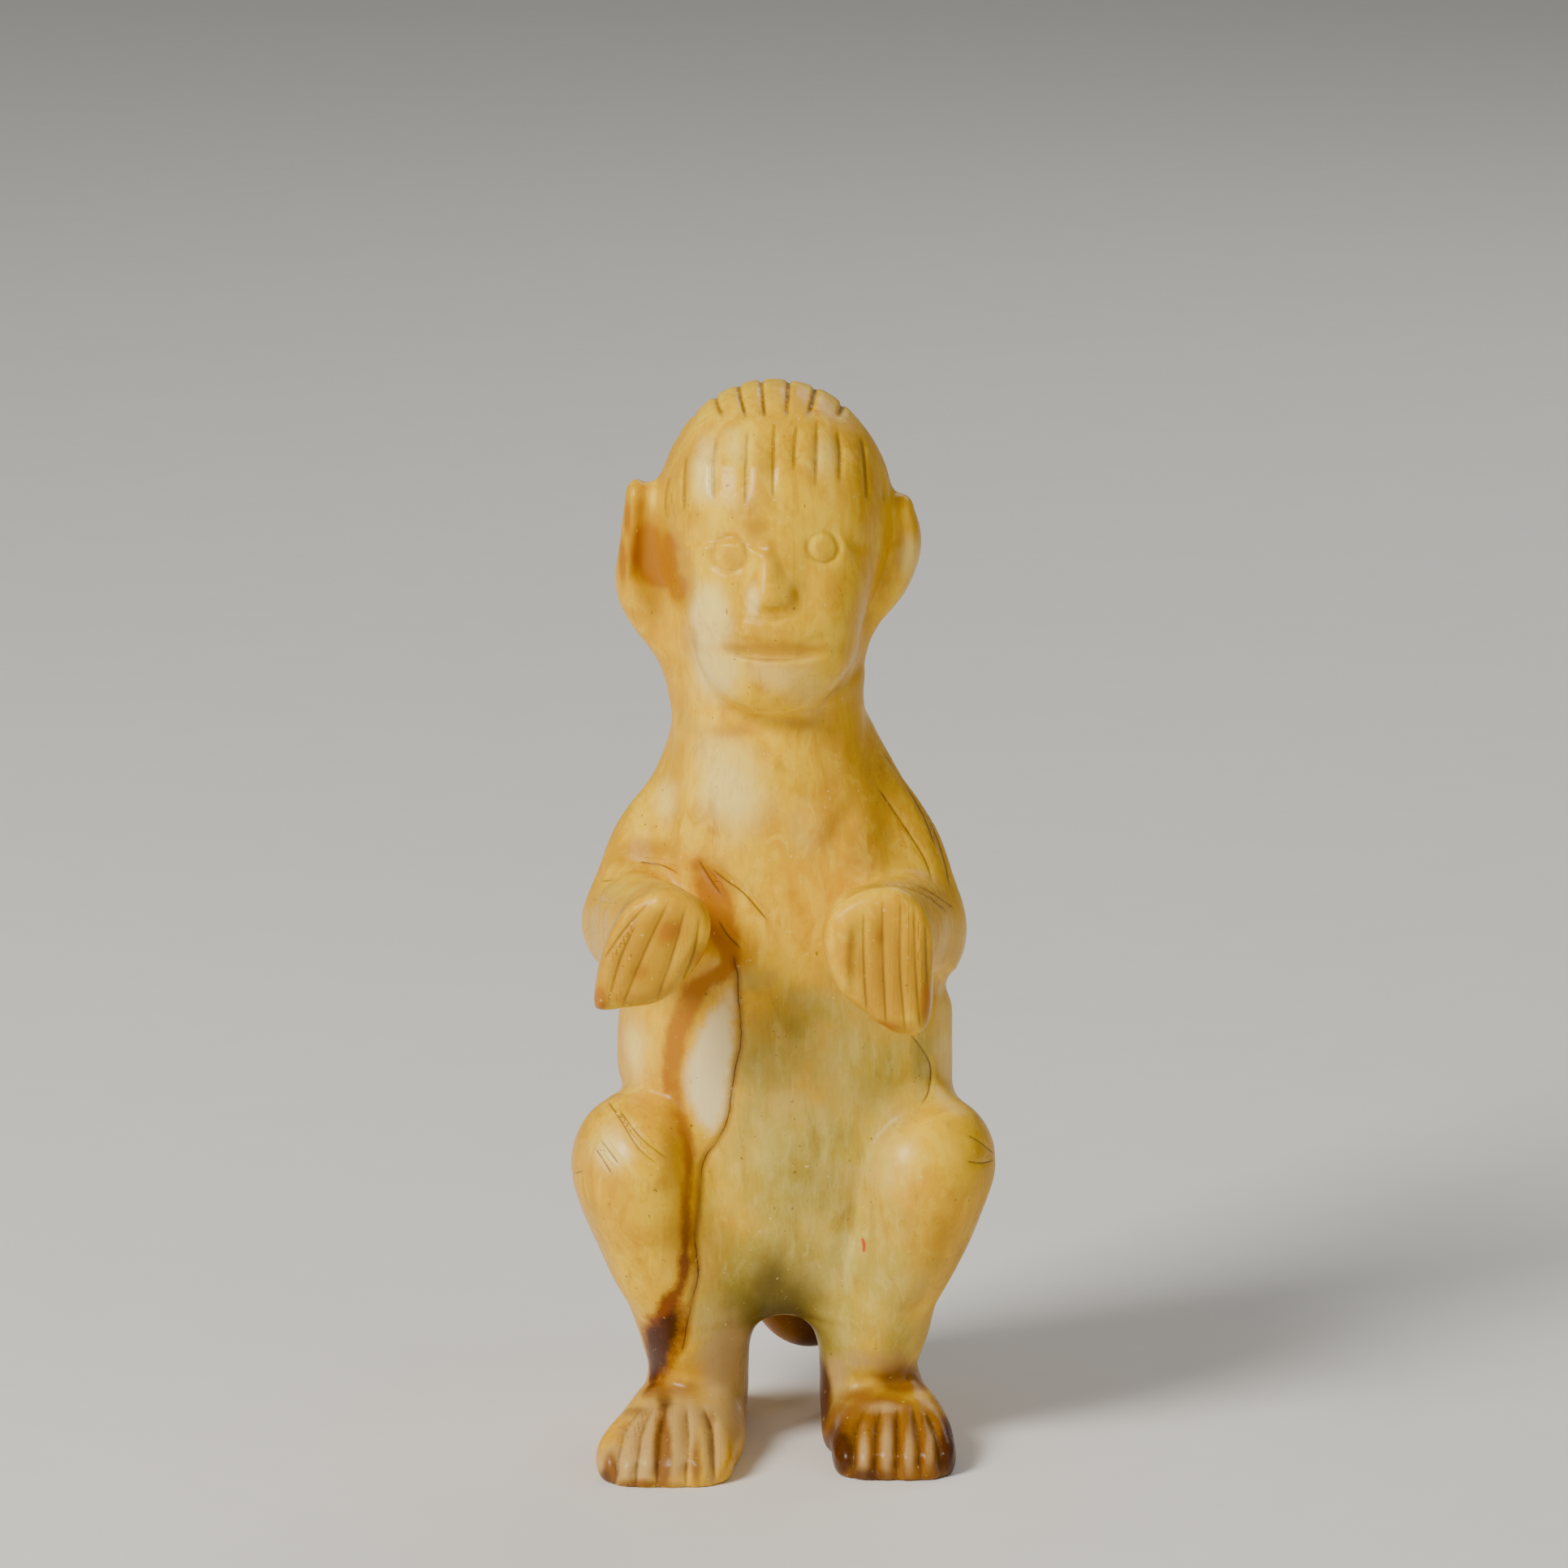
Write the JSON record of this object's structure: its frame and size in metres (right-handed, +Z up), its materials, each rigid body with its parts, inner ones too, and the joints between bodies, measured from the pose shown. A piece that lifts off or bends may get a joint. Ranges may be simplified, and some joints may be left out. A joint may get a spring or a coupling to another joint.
{
  "type": "monkey figurine",
  "caption": "Small carved jade monkey standing on bent legs with its forearms held out and its paws hanging, an ornament that stands on two flat soles.",
  "frame": {"origin": "centre of the bounding box in plan, at the level of the soles", "axes": "+Z up, +X to the viewer's right and the monkey's own left, the face looks along -Y"},
  "size_m": [0.0292, 0.033, 0.0752],
  "materials": {
    "jade": "satin"
  },
  "bodies": {
    "root": {"head": "jade", "left_ear": "jade", "right_ear": "jade", "torso": "jade", "rump": "jade", "tail": "jade", "left_upper_arm": "jade", "left_forearm": "jade", "left_paw": "jade", "left_thigh": "jade", "left_shin": "jade", "left_foot": "jade", "right_upper_arm": "jade", "right_forearm": "jade", "right_paw": "jade", "right_thigh": "jade", "right_shin": "jade", "right_foot": "jade"}
  },
  "joints": []
}
